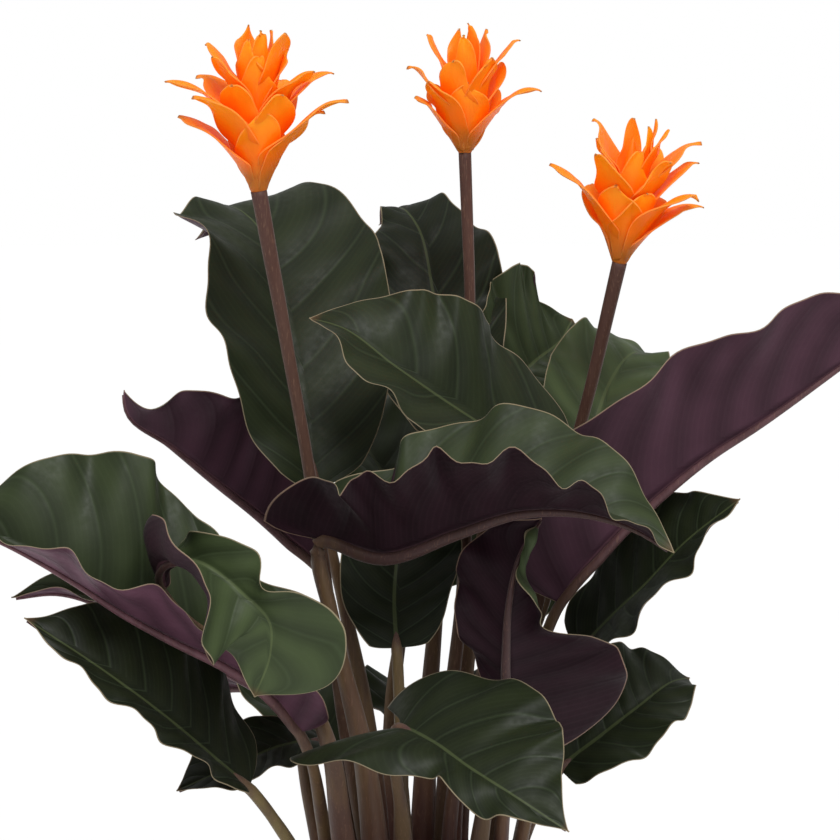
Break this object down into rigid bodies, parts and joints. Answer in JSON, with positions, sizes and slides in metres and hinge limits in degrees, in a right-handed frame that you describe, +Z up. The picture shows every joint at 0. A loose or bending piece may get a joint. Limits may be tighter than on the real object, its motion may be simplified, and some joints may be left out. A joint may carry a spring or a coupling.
{
  "type": "potted calathea plant",
  "caption": "Potted prayer plant: broad, waved dark green leaves with purple undersides, and orange flower heads on tall brown stalks.",
  "frame": {"origin": "centre of the pot's underside", "axes": "+Z up along the pot's axis, -Y towards the plant's front, +X to the viewer's right"},
  "size_m": [0.3769, 0.2935, 0.4499],
  "materials": {
    "leaf": "satin dark green above, purple beneath",
    "stalk": "satin brown",
    "bract": "satin orange",
    "soil": "matt, crumbly",
    "pot": "matt"
  },
  "bodies": {
    "root": {"flower_head_left": "bract", "flower_head_middle": "bract", "flower_head_right": "bract", "flower_stalk_left": "stalk", "flower_stalk_middle": "stalk", "flower_stalk_right": "stalk", "leaf_back_right": "leaf", "leaf_boat_front": "leaf", "leaf_broad_middle": "leaf", "leaf_curled_left": "leaf", "leaf_dark_right": "leaf", "leaf_drooping_left": "leaf", "leaf_folded_left": "leaf", "leaf_inner": "leaf", "leaf_long_left": "leaf", "leaf_long_right": "leaf", "leaf_low_front": "leaf", "leaf_low_left": "leaf", "leaf_pointed_left": "leaf", "leaf_rear_left": "leaf", "leaf_rear_low_left": "leaf", "leaf_rear_low_middle": "leaf", "leaf_rear_low_right": "leaf", "leaf_rear_middle": "leaf", "leaf_rear_right": "leaf", "leaf_round_right": "leaf", "leaf_small_back": "leaf", "leaf_tall_back": "leaf", "leaf_tall_left": "leaf", "leaf_upright_front": "leaf", "pot": "pot", "soil": "soil"}
  },
  "joints": []
}
